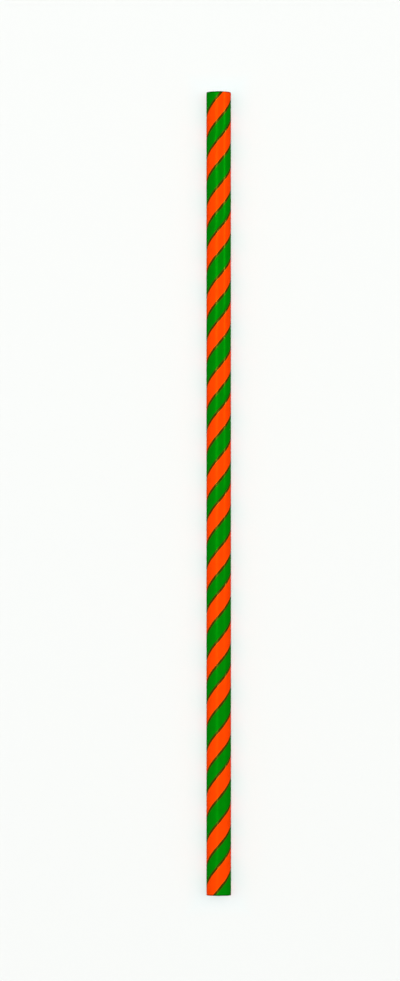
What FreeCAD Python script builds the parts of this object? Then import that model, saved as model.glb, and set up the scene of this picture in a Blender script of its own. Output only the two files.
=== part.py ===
import FreeCAD, Part
import os

import Sketcher

# A paper drinking straw: a tube wound from strips of paper and cut square at both ends.
# It lies along Y on the surface z = 0, with the middle of its length over the origin.

# Driving dimensions, in millimetres
DIMENSIONS = (
    ("tube_length", 197.0),
    ("outer_diameter", 6.0),
    # Three glued plies of paper
    ("wall_thickness", 0.4),
    # The knife leaves both edges of each cut end a little rounded
    ("outer_rim_round", 0.15),
    ("inner_rim_round", 0.08),
    # How deep the round side is pressed flat along the line that the straw lies on
    ("resting_flat", 0.06),
)

doc = FreeCAD.newDocument("paper_straw")
sheet = doc.addObject("Spreadsheet::Sheet", "Sizes")
for row, (alias, value) in enumerate(DIMENSIONS, start=1):
    sheet.set(f"A{row}", alias)
    sheet.set(f"B{row}", str(value))
    sheet.setAlias(f"B{row}", alias)
doc.recompute()

outer_radius = sheet.outer_diameter / 2
bore_radius = outer_radius - sheet.wall_thickness
flat_level = outer_radius - sheet.resting_flat


def cross_section(body, name):
    """An empty sketch on the body's XZ plane, which cuts the tube across at mid-length."""
    sketch = body.newObject("Sketcher::SketchObject", name)
    plane = next(item for item in body.Origin.OriginFeatures if item.Role == "XZ_Plane")
    sketch.AttachmentSupport = (plane, "")
    sketch.MapMode = "FlatFace"
    return sketch


def add_circle(sketch, name, radius, formula):
    """A circle about the tube's axis, with its diameter bound to the sheet."""
    circle = sketch.addGeometry(Part.Circle(FreeCAD.Vector(), FreeCAD.Vector(0, 0, 1), radius))
    sketch.addConstraint(Sketcher.Constraint("Coincident", circle, 3, -1, 1))
    diameter = sketch.addConstraint(Sketcher.Constraint("Diameter", circle, 2 * radius))
    sketch.renameConstraint(diameter, name)
    sketch.setExpression(f"Constraints.{name}", formula)


def add_rectangle(sketch, left, right, low, high, formulas):
    """A rectangle with each side's distance from the tube's axis bound to the sheet."""
    corners = [(left, low), (right, low), (right, high), (left, high)]
    points = [FreeCAD.Vector(x, z, 0) for x, z in corners]
    for start, end in zip(points, points[1:] + points[:1]):
        sketch.addGeometry(Part.LineSegment(start, end))
    for side in range(4):
        sketch.addConstraint(Sketcher.Constraint("Coincident", side, 2, (side + 1) % 4, 1))
        level = "Vertical" if side % 2 else "Horizontal"
        sketch.addConstraint(Sketcher.Constraint(level, side))
    places = {
        "left": Sketcher.Constraint("DistanceX", 0, 1, -1, 1, -left),
        "right": Sketcher.Constraint("DistanceX", -1, 1, 1, 1, right),
        "low": Sketcher.Constraint("DistanceY", 0, 1, -1, 1, -low),
        "high": Sketcher.Constraint("DistanceY", 2, 1, -1, 1, -high),
    }
    for name, constraint in places.items():
        sketch.renameConstraint(sketch.addConstraint(constraint), name)
        sketch.setExpression(f"Constraints.{name}", formulas[name])


def round_rims(body, name, base, radius, formula):
    """Rounds the circular edges of this radius, which lie at the two cut ends."""
    rims = [
        f"Edge{number}"
        for number, edge in enumerate(base.Shape.Edges, start=1)
        if isinstance(edge.Curve, Part.Circle) and abs(edge.Curve.Radius - radius) < 1e-6
    ]
    fillet = body.newObject("PartDesign::Fillet", name)
    fillet.Base = (base, rims)
    fillet.setExpression("Radius", formula)
    doc.recompute()
    return fillet


straw = doc.addObject("PartDesign::Body", "Straw")
straw.Label = "straw"

# The wall is a ring, which reaches half the straw's length to each side of its section
ring = cross_section(straw, "WallSection")
add_circle(ring, "outside", outer_radius, "Sizes.outer_diameter")
add_circle(ring, "bore", bore_radius, "Sizes.outer_diameter - 2 * Sizes.wall_thickness")
wall = straw.newObject("PartDesign::Pad", "Wall")
wall.Profile = ring
wall.Midplane = True
wall.setExpression("Length", "Sizes.tube_length")
doc.recompute()

outer_rims = round_rims(straw, "OuterRims", wall, outer_radius, "Sizes.outer_rim_round")
inner_rims = round_rims(straw, "InnerRims", outer_rims, bore_radius, "Sizes.inner_rim_round")

# A paper tube is never quite round, and lies on a narrow flat along its whole length
strip = cross_section(straw, "FlatSection")
add_rectangle(
    strip,
    -outer_radius,
    outer_radius,
    -sheet.outer_diameter,
    -flat_level,
    {
        "left": "Sizes.outer_diameter / 2",
        "right": "Sizes.outer_diameter / 2",
        "low": "Sizes.outer_diameter",
        "high": "Sizes.outer_diameter / 2 - Sizes.resting_flat",
    },
)
flat = straw.newObject("PartDesign::Pocket", "RestingFlat")
flat.Profile = strip
flat.Midplane = True
flat.setExpression("Length", "Sizes.tube_length")
doc.recompute()
straw.Tip = flat

# The flat is down, on the surface
straw.setExpression("Placement.Base.z", "Sizes.outer_diameter / 2 - Sizes.resting_flat")
doc.recompute()

for item in doc.Objects:
    if {"Invalid", "Error"} & set(item.State):
        raise RuntimeError(f"{item.Label} failed: {item.State}")
shape = straw.Shape
if shape.isNull() or not shape.isValid() or len(shape.Solids) != 1:
    raise RuntimeError("the straw isn't one valid solid")
if not shape.Volume < inner_rims.Shape.Volume:
    raise RuntimeError("the resting flat took nothing off")

os.makedirs("parts", exist_ok=True)
shape.exportStep(os.path.join("parts", f"{straw.Label}.step"))
print(straw.Label, shape.BoundBox, "volume", shape.Volume)
print("before the flat", inner_rims.Shape.Volume)
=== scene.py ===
import math

import bmesh
import bpy
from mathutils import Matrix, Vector


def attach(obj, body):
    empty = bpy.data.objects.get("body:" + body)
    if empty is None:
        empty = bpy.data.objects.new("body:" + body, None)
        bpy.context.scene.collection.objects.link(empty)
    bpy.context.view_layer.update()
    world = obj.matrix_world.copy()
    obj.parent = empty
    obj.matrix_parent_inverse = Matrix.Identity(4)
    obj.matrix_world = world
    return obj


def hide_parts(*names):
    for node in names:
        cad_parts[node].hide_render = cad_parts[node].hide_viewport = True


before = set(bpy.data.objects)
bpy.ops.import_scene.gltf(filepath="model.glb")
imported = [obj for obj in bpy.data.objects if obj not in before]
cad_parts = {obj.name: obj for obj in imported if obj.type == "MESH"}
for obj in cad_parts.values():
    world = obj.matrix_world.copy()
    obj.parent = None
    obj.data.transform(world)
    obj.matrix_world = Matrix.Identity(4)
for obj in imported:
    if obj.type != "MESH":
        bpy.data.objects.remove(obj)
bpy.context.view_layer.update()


# The straw
# One long strip of printed paper is wound over two plain ones, with glue between them, round a steel rod.
# Each strip meets its own edge in a spiral seam. A knife then cuts the tube to length, square across, and
# crushes its rims a little.

STRAW_LENGTH = 0.197
STRAW_RADIUS = 0.003
BORE_RADIUS = 0.0026
AXIS_HEIGHT = 0.00294
OUTER_RIM_ROUND = 0.00015
INNER_RIM_ROUND = 0.00008
# How far the strips climb along the straw in one turn, where their seams cross the top, from the +Y end, and
# how deep the seams are
STRIP_CLIMB = 0.02225
OUTER_SEAM_START = 0.0115
INNER_SEAM_START = 0.0197
OUTER_SEAM_DEPTH = 0.00004
INNER_SEAM_DEPTH = 0.00003
TURNS = 11
STEPS_A_TURN = 96
STEPS_ACROSS = 12
# Points of the mesh that are closer than this are one
TOUCHING = 0.000001


def wind_ply(straw, radius, seam_start, seam_depth):
    """Winds one strip of paper round the straw's axis, from beyond one end to beyond the other."""
    first = STRAW_LENGTH / 2 - seam_start - (TURNS - 1) * STRIP_CLIMB
    # The strip's edges are rounded, so that the seam is a shallow groove
    edge = [(0.0, seam_depth), (0.00005, 0.4 * seam_depth), (0.00012, 0.0)]
    plain = [(STRIP_CLIMB * step / STEPS_ACROSS, 0.0) for step in range(1, STEPS_ACROSS)]
    far_edge = [(STRIP_CLIMB - across, depth) for across, depth in reversed(edge)]
    corners = [
        straw.verts.new((0.0, first + across, AXIS_HEIGHT + radius - depth))
        for across, depth in edge + plain + far_edge
    ]
    lines = [straw.edges.new(pair) for pair in zip(corners, corners[1:])]
    others = set(straw.verts[:] + straw.edges[:] + straw.faces[:]) - set(corners + lines)
    bmesh.ops.spin(
        straw,
        geom=corners + lines,
        cent=(0.0, 0.0, AXIS_HEIGHT),
        axis=(0.0, 1.0, 0.0),
        dvec=(0.0, STRIP_CLIMB / STEPS_A_TURN, 0.0),
        angle=2 * math.pi,
        steps=STEPS_A_TURN,
        use_merge=False,
    )
    turn = [item for item in straw.verts[:] + straw.edges[:] + straw.faces[:] if item not in others]
    for climbs in range(1, TURNS):
        copy = bmesh.ops.duplicate(straw, geom=turn)["geom"]
        moved = [item for item in copy if isinstance(item, bmesh.types.BMVert)]
        bmesh.ops.translate(straw, verts=moved, vec=(0.0, climbs * STRIP_CLIMB, 0.0))


def cut_across(mesh, place, direction, keep_both=True):
    """Cuts the mesh with a plane, and takes off what lies past it unless both sides are kept."""
    cut = bmesh.ops.bisect_plane(
        mesh,
        geom=mesh.verts[:] + mesh.edges[:] + mesh.faces[:],
        dist=TOUCHING,
        plane_co=place,
        plane_no=direction,
        clear_outer=not keep_both,
    )
    return cut["geom_cut"]


def rim_setback(distance, rounding):
    """How far a rounded rim stands back from the wall, at this distance from the cut end."""
    if distance >= rounding:
        return 0.0
    return rounding - math.sqrt(rounding**2 - (rounding - distance) ** 2)


straw = bmesh.new()
wind_ply(straw, STRAW_RADIUS, OUTER_SEAM_START, OUTER_SEAM_DEPTH)
wind_ply(straw, BORE_RADIUS, INNER_SEAM_START, -INNER_SEAM_DEPTH)
bmesh.ops.remove_doubles(straw, verts=straw.verts, dist=TOUCHING)

# Both ends are cut square, and the lines that the rims' rounding needs are cut in this far from them
RIM_LINES = (OUTER_RIM_ROUND, 0.0001, INNER_RIM_ROUND, 0.00005, 0.00002)
for end in (-1, 1):
    for setback in RIM_LINES:
        cut_across(straw, (0.0, end * (STRAW_LENGTH / 2 - setback), 0.0), (0.0, 1.0, 0.0))
    cut = cut_across(straw, (0.0, end * STRAW_LENGTH / 2, 0.0), (0.0, end, 0.0), keep_both=False)
    rims = [item for item in cut if isinstance(item, bmesh.types.BMEdge)]
    for corner in {corner for rim in rims for corner in rim.verts}:
        corner.co.y = end * STRAW_LENGTH / 2
    bmesh.ops.triangle_fill(straw, edges=rims, use_beauty=True, normal=(0.0, end, 0.0))

# The rims are rounded on both sides of the wall
for corner in straw.verts:
    across = Vector((corner.co.x, 0.0, corner.co.z - AXIS_HEIGHT))
    distance = max(0.0, STRAW_LENGTH / 2 - abs(corner.co.y))
    if across.length > (STRAW_RADIUS + BORE_RADIUS) / 2:
        radius = across.length - rim_setback(distance, OUTER_RIM_ROUND)
    else:
        radius = across.length + rim_setback(distance, INNER_RIM_ROUND)
    across.length = radius
    corner.co.x = across.x
    corner.co.z = AXIS_HEIGHT + across.z

# The narrow flat that the straw lies on
cut_across(straw, (0.0, 0.0, 0.0), (0.0, 0.0, 1.0))
for corner in straw.verts:
    corner.co.z = max(corner.co.z, 0.0)

bmesh.ops.recalc_face_normals(straw, faces=straw.faces)
PRINTED, PLAIN = 0, 1
for face in straw.faces:
    face.smooth = True
    middle = face.calc_center_median()
    reach = math.hypot(middle.x, middle.z - AXIS_HEIGHT)
    square_cut = abs(face.normal.y) > 0.999
    face.material_index = PLAIN if square_cut or reach < (STRAW_RADIUS + BORE_RADIUS) / 2 else PRINTED
straw_mesh = bpy.data.meshes.new("wound_straw")
straw.to_mesh(straw_mesh)
straw.free()
straw_mesh.set_sharp_from_angle(angle=math.radians(35))
wound_straw = bpy.data.objects.new("wound_straw", straw_mesh)
bpy.context.scene.collection.objects.link(wound_straw)


def node(tree, kind, **settings):
    """One shader node, with its settings."""
    made = tree.nodes.new(kind)
    for name, value in settings.items():
        setattr(made, name, value)
    return made


def put(tree, socket, value):
    """Joins a socket to another one, or gives it a plain value."""
    if isinstance(value, bpy.types.NodeSocket):
        tree.links.new(value, socket)
    else:
        socket.default_value = value


def reckon(tree, operation, first, second=0.0, third=0.0):
    """The result of one sum."""
    made = node(tree, "ShaderNodeMath", operation=operation)
    for socket, value in zip(made.inputs, (first, second, third)):
        put(tree, socket, value)
    return made.outputs[0]


def step_up(tree, value, start, end):
    """A mask that rises smoothly from 0 to 1 between two values."""
    made = node(tree, "ShaderNodeMapRange", interpolation_type="SMOOTHSTEP")
    put(tree, made.inputs["Value"], value)
    put(tree, made.inputs["From Min"], start)
    put(tree, made.inputs["From Max"], end)
    return made.outputs["Result"]


def speckle(tree, place, scale, detail=2.0, roughness=0.5):
    """Noise from 0 to 1 at this many cells a metre."""
    made = node(tree, "ShaderNodeTexNoise", noise_dimensions="3D")
    put(tree, made.inputs["Vector"], place)
    put(tree, made.inputs["Scale"], scale)
    put(tree, made.inputs["Detail"], detail)
    put(tree, made.inputs["Roughness"], roughness)
    return made.outputs["Fac"]


def blend_colours(tree, mask, first, second):
    """Goes from the first colour to the second one by the mask."""
    made = node(tree, "ShaderNodeMix", data_type="RGBA")
    put(tree, made.inputs["Factor"], mask)
    put(tree, made.inputs[6], first)
    put(tree, made.inputs[7], second)
    return made.outputs[2]


def new_group(name, inputs, outputs):
    """An empty node group with named number or vector sockets, and its two end nodes."""
    group = bpy.data.node_groups.new(name, "ShaderNodeTree")
    for socket, kind in inputs:
        group.interface.new_socket(socket, in_out="INPUT", socket_type=kind)
    for socket, kind in outputs:
        group.interface.new_socket(socket, in_out="OUTPUT", socket_type=kind)
    return group, node(group, "NodeGroupInput"), node(group, "NodeGroupOutput")


# Paper has fine fibres in its face, and takes ink and dust a little unevenly
FLOAT, VECTOR = "NodeSocketFloat", "NodeSocketVector"
paper_face, given, result = new_group(
    "paper face", [("Place", VECTOR), ("Unevenness", FLOAT)], [("Shade", FLOAT), ("Height", FLOAT)]
)
cloudy = speckle(paper_face, given.outputs["Place"], 700.0, 3.0)
fibres = speckle(paper_face, given.outputs["Place"], 7000.0, 3.0, 0.7)
both = reckon(paper_face, "ADD", cloudy, fibres)
swing = reckon(paper_face, "SUBTRACT", both, 1.0)
shade = reckon(paper_face, "MULTIPLY_ADD", swing, given.outputs["Unevenness"], 1.0)
paper_face.links.new(shade, result.inputs["Shade"])
paper_face.links.new(fibres, result.inputs["Height"])

# The print follows the strip, so a place's ink depends on how far across the strip it lies. That is measured
# in millimetres from the edge of the first green stripe, which crosses the top a little way from the +Y end.
# Each green stripe overlaps the orange on both sides of it in a thin dark line.
CLIMB_MM = 1000 * STRIP_CLIMB
FIRST_STRIPE_MM = 1000 * STRAW_LENGTH / 2 - 6.47
# The middle and half the width of each green stripe, and where the dark line inside its edges fades
GREEN_STRIPES = ((2.765, 2.8), (13.9, 3.28))
OVERLAP_MM = (0.72, 0.96)
stripes, given, result = new_group(
    "spiral stripes", [("Place", VECTOR)], [("Green", FLOAT), ("Overlap", FLOAT)]
)
split = node(stripes, "ShaderNodeSeparateXYZ")
stripes.links.new(given.outputs["Place"], split.inputs[0])
above_axis = reckon(stripes, "SUBTRACT", split.outputs["Z"], AXIS_HEIGHT)
turned = reckon(stripes, "ARCTAN2", split.outputs["X"], above_axis)
climbed = reckon(stripes, "MULTIPLY", turned, CLIMB_MM / (2 * math.pi))
from_first = reckon(stripes, "MULTIPLY_ADD", split.outputs["Y"], -1000.0, FIRST_STRIPE_MM)
# The printed edges wander a little, and the ink feathers finely along them
wander = reckon(stripes, "SUBTRACT", speckle(stripes, given.outputs["Place"], 350.0, 2.0), 0.5)
feather = reckon(stripes, "SUBTRACT", speckle(stripes, given.outputs["Place"], 5000.0, 1.0), 0.5)
strayed = reckon(stripes, "MULTIPLY_ADD", wander, 0.3, reckon(stripes, "MULTIPLY", feather, 0.08))
across_strip = reckon(stripes, "ADD", reckon(stripes, "ADD", from_first, climbed), strayed)
# How deep inside a green stripe the place lies
depths = []
for stripe_middle, half_width in GREEN_STRIPES:
    aside = reckon(stripes, "SUBTRACT", across_strip, stripe_middle)
    nearest = reckon(stripes, "WRAP", aside, CLIMB_MM / 2, -CLIMB_MM / 2)
    depths.append(reckon(stripes, "SUBTRACT", half_width, reckon(stripes, "ABSOLUTE", nearest)))
depth = reckon(stripes, "MAXIMUM", *depths)
green = step_up(stripes, depth, -0.03, 0.03)
past_overlap = step_up(stripes, depth, *OVERLAP_MM)
overlap = reckon(stripes, "MULTIPLY", green, reckon(stripes, "SUBTRACT", 1.0, past_overlap))
stripes.links.new(green, result.inputs["Green"])
stripes.links.new(overlap, result.inputs["Overlap"])


def surface(name):
    """A material with its shader and the place of each point on the finished piece."""
    material = bpy.data.materials.new(name)
    material.use_nodes = True
    tree = material.node_tree
    tree.nodes.clear()
    shader = node(tree, "ShaderNodeBsdfPrincipled")
    output = node(tree, "ShaderNodeOutputMaterial")
    tree.links.new(shader.outputs["BSDF"], output.inputs["Surface"])
    place = node(tree, "ShaderNodeTexCoord").outputs["Object"]
    return material, tree, shader, place


def use_group(tree, group, place):
    """Places a node group in a material, fed with the place."""
    made = node(tree, "ShaderNodeGroup", node_tree=group)
    tree.links.new(place, made.inputs["Place"])
    return made


# Strong orange and green inks, which shine softly in their own colours
ORANGE_INK = (0.92, 0.055, 0.0006, 1.0)
GREEN_INK = (0.0006, 0.2, 0.0016, 1.0)
OVERLAP_INK = (0.047, 0.042, 0.002, 1.0)
INK_SHEEN = 0.16
OVERLAP_SHEEN = 0.7
# How dull the sheen is, and how much more the fibres make it so
INK_DULLNESS = 0.25
OVERLAP_DULLNESS = 0.2
FIBRE_DULLNESS = 0.08
printed_paper, tree, shader, place = surface("printed paper")
paper = use_group(tree, paper_face, place)
paper.inputs["Unevenness"].default_value = 0.22
print_fields = use_group(tree, stripes, place)
inks = blend_colours(tree, print_fields.outputs["Green"], ORANGE_INK, GREEN_INK)
inks = blend_colours(tree, print_fields.outputs["Overlap"], inks, OVERLAP_INK)
# Painted shade at the rims: the print darkens by up to half over the last third of a millimetre, this far
# from the straw's middle
RIM_SHADE_MM = (98.05, 98.4)
split = node(tree, "ShaderNodeSeparateXYZ")
tree.links.new(place, split.inputs[0])
from_middle = reckon(tree, "MULTIPLY", reckon(tree, "ABSOLUTE", split.outputs["Y"]), 1000.0)
painted_rim_shade = reckon(tree, "MULTIPLY_ADD", step_up(tree, from_middle, *RIM_SHADE_MM), -0.5, 1.0)
uneven = node(tree, "ShaderNodeVectorMath", operation="SCALE")
tree.links.new(inks, uneven.inputs[0])
tree.links.new(reckon(tree, "MULTIPLY", paper.outputs["Shade"], painted_rim_shade), uneven.inputs["Scale"])
tree.links.new(uneven.outputs["Vector"], shader.inputs["Base Color"])
overlap = print_fields.outputs["Overlap"]
sheen = reckon(tree, "MULTIPLY_ADD", overlap, OVERLAP_SHEEN - INK_SHEEN, INK_SHEEN)
tree.links.new(sheen, shader.inputs["Metallic"])
dullness = reckon(tree, "MULTIPLY_ADD", paper.outputs["Height"], FIBRE_DULLNESS, INK_DULLNESS)
dullness = reckon(tree, "MULTIPLY_ADD", overlap, OVERLAP_DULLNESS - INK_DULLNESS, dullness)
tree.links.new(dullness, shader.inputs["Roughness"])
shader.inputs["Specular IOR Level"].default_value = 0.0
shader.inputs["Specular Tint"].default_value = (0.5, 0.5, 0.5, 1.0)
grain = node(tree, "ShaderNodeBump")
grain.inputs["Strength"].default_value = 0.3
grain.inputs["Distance"].default_value = 0.00001
tree.links.new(paper.outputs["Height"], grain.inputs["Height"])
tree.links.new(grain.outputs["Normal"], shader.inputs["Normal"])

# Plain warm-white paper shows in the bore and on the cut ends, where two fine glue lines part three plies
PAPER_COLOUR = (0.84, 0.81, 0.74, 1.0)
GLUE_COLOUR = (0.6, 0.55, 0.46, 1.0)
plain_paper, tree, shader, place = surface("plain paper")
paper = use_group(tree, paper_face, place)
paper.inputs["Unevenness"].default_value = 0.1
split = node(tree, "ShaderNodeSeparateXYZ")
tree.links.new(place, split.inputs[0])
above_axis = reckon(tree, "SUBTRACT", split.outputs["Z"], AXIS_HEIGHT)
sideways_squared = reckon(tree, "POWER", split.outputs["X"], 2.0)
reach_squared = reckon(tree, "MULTIPLY_ADD", above_axis, above_axis, sideways_squared)
reach = reckon(tree, "MULTIPLY", reckon(tree, "SQRT", reach_squared), 1000.0)
# The glue lines lie half a ply to each side of the middle of the wall
WALL_MIDDLE_MM = 2.8
HALF_PLY_MM = 0.0667
from_middle_ply = reckon(tree, "ABSOLUTE", reckon(tree, "SUBTRACT", reach, WALL_MIDDLE_MM))
from_line = reckon(tree, "ABSOLUTE", reckon(tree, "SUBTRACT", from_middle_ply, HALF_PLY_MM))
glue = step_up(tree, from_line, 0.011, 0.003)
plies = blend_colours(tree, glue, PAPER_COLOUR, GLUE_COLOUR)
uneven = node(tree, "ShaderNodeVectorMath", operation="SCALE")
tree.links.new(plies, uneven.inputs[0])
tree.links.new(paper.outputs["Shade"], uneven.inputs["Scale"])
tree.links.new(uneven.outputs["Vector"], shader.inputs["Base Color"])
shader.inputs["Roughness"].default_value = 0.85
grain = node(tree, "ShaderNodeBump")
grain.inputs["Strength"].default_value = 0.25
grain.inputs["Distance"].default_value = 0.00001
tree.links.new(paper.outputs["Height"], grain.inputs["Height"])
tree.links.new(grain.outputs["Normal"], shader.inputs["Normal"])

straw_mesh.materials.append(printed_paper)
straw_mesh.materials.append(plain_paper)
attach(wound_straw, "root")
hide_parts("straw")


# The white paper sweep that the straw lies on
# A wide matt sheet with nothing on it. Its colour is painted a little cooler in the straw's shade, and well
# away from the straw it goes over into the white of the room.

SWEEP_COLOUR = (0.772, 0.783, 0.772, 1.0)
# Painted shade: the cooler colour that the sweep is given close beside the straw
SHADED_SWEEP_COLOUR = (0.75, 0.796, 0.793, 1.0)
# What it throws back at the straw
BOUNCE_COLOUR = (0.8, 0.8, 0.8, 1.0)
ROOM_WHITE = (0.973, 0.991, 0.966, 1.0)
UNLIT = (0.0, 0.0, 0.0, 1.0)
# Where its shaded colour ends, from the straw's side, and where the white of the room begins, from the middle
SHADE_REACH = (0.0008, 0.006)
ROOM_REACH = (0.16, 0.6)
SWEEP_HALF_WIDTH = 30.0
sweep = bmesh.new()
bmesh.ops.create_grid(sweep, x_segments=1, y_segments=1, size=SWEEP_HALF_WIDTH)
sweep_mesh = bpy.data.meshes.new("sweep")
sweep.to_mesh(sweep_mesh)
sweep.free()
floor = bpy.data.objects.new("sweep", sweep_mesh)
bpy.context.scene.collection.objects.link(floor)


def looked_at(tree):
    """A mask that is 1 for what the camera sees, straight or in a shiny or clear surface."""
    path = node(tree, "ShaderNodeLightPath")
    seen = reckon(tree, "MAXIMUM", path.outputs["Is Camera Ray"], path.outputs["Is Glossy Ray"])
    return reckon(tree, "MAXIMUM", seen, path.outputs["Is Transmission Ray"])


matt_white, tree, shader, place = surface("matt white sweep")
seen = looked_at(tree)
split = node(tree, "ShaderNodeSeparateXYZ")
tree.links.new(place, split.inputs[0])
aside = reckon(tree, "SUBTRACT", reckon(tree, "ABSOLUTE", split.outputs["X"]), STRAW_RADIUS)
beyond_ends = reckon(tree, "SUBTRACT", reckon(tree, "ABSOLUTE", split.outputs["Y"]), STRAW_LENGTH / 2)
open_floor = step_up(tree, reckon(tree, "MAXIMUM", aside, beyond_ends), *SHADE_REACH)
sweep_colour = blend_colours(tree, open_floor, SHADED_SWEEP_COLOUR, SWEEP_COLOUR)
seen_colour = blend_colours(tree, seen, BOUNCE_COLOUR, sweep_colour)
away = node(tree, "ShaderNodeVectorMath", operation="LENGTH")
tree.links.new(place, away.inputs[0])
rising = reckon(tree, "MULTIPLY", step_up(tree, away.outputs["Value"], *ROOM_REACH), seen)
tree.links.new(blend_colours(tree, rising, seen_colour, UNLIT), shader.inputs["Base Color"])
tree.links.new(blend_colours(tree, rising, UNLIT, ROOM_WHITE), shader.inputs["Emission Color"])
shader.inputs["Emission Strength"].default_value = 1.0
matt_white.cycles.emission_sampling = "NONE"
shader.inputs["Roughness"].default_value = 1.0
shader.inputs["Specular IOR Level"].default_value = 0.0
sweep_mesh.materials.append(matt_white)


# The light
# A wide ceiling and a far soft box light the matt colours, and leave the straw's narrow shadow on the sweep.
# Three strip lamps show only as sheen: one runs along the whole straw, and two catch its upper half from
# the sides. The room adds a little light from all round.

def hang_lamp(name, lean, along, distance, width, length, brightness, in_gloss=True):
    """Hangs a flat lamp over this place along the straw, leaning by degrees to the right of overhead."""
    lamp = bpy.data.lights.new(name, "AREA")
    lamp.shape = "RECTANGLE"
    lamp.size = width
    lamp.size_y = length
    lamp.energy = brightness * math.pi * width * length
    hung = bpy.data.objects.new(name, lamp)
    lean = math.radians(lean)
    hung.location = (distance * math.sin(lean), along, distance * math.cos(lean))
    hung.rotation_euler = (0.0, lean, 0.0)
    hung.visible_glossy = in_gloss
    hung.visible_diffuse = not in_gloss
    bpy.context.scene.collection.objects.link(hung)


# Each lamp's lean, place along the straw, distance, width, length and brightness
hang_lamp("ceiling", 0.0, 0.22, 1.2, 2.9, 1.0, 0.92, in_gloss=False)
hang_lamp("soft_box", -0.3, 0.0, 5.0, 0.4, 0.4, 350.0, in_gloss=False)
hang_lamp("long_strip", -12.0, 0.0, 1.0, 0.1, 1.4, 5.2)
hang_lamp("left_strip", -23.0, 0.3, 1.0, 0.09, 0.64, 12.4)
hang_lamp("right_strip", 56.0, 0.33, 1.0, 0.1, 0.58, 18.0)

ROOM_LIGHT = 0.25
world = bpy.data.worlds.new("room")
bpy.context.scene.world = world
world.use_nodes = True
tree = world.node_tree
tree.nodes.clear()
room = node(tree, "ShaderNodeBackground")
sky = node(tree, "ShaderNodeOutputWorld")
tree.links.new(room.outputs["Background"], sky.inputs["Surface"])
room.inputs["Color"].default_value = ROOM_WHITE
room_shown = reckon(tree, "MULTIPLY_ADD", looked_at(tree), 1.0 - ROOM_LIGHT, ROOM_LIGHT)
tree.links.new(room_shown, room.inputs["Strength"])


# The camera
# It looks down on the straw from nearly overhead, with the straw's +Y end at the top of the picture. The
# straw lies a little to the right of the middle, as it does in the photograph.

AIM = Vector((-0.00459, 0.00059, AXIS_HEIGHT))
CAMERA_DISTANCE = 1.3
TILT = math.radians(1.9)
# How much the picture takes in from top to bottom, at the straw
PICTURE_HEIGHT = 0.24056
SENSOR_HEIGHT_MM = 36.0
camera_data = bpy.data.cameras.new("camera")
camera_data.sensor_fit = "VERTICAL"
camera_data.sensor_height = SENSOR_HEIGHT_MM
camera_data.lens = SENSOR_HEIGHT_MM * CAMERA_DISTANCE / PICTURE_HEIGHT
camera_data.clip_end = 100.0
camera = bpy.data.objects.new("camera", camera_data)
camera.location = AIM + CAMERA_DISTANCE * Vector((0.0, -math.sin(TILT), math.cos(TILT)))
camera.rotation_euler = (TILT, 0.0, 0.0)
bpy.context.scene.collection.objects.link(camera)
bpy.context.scene.camera = camera
bpy.context.scene.view_settings.view_transform = "Standard"
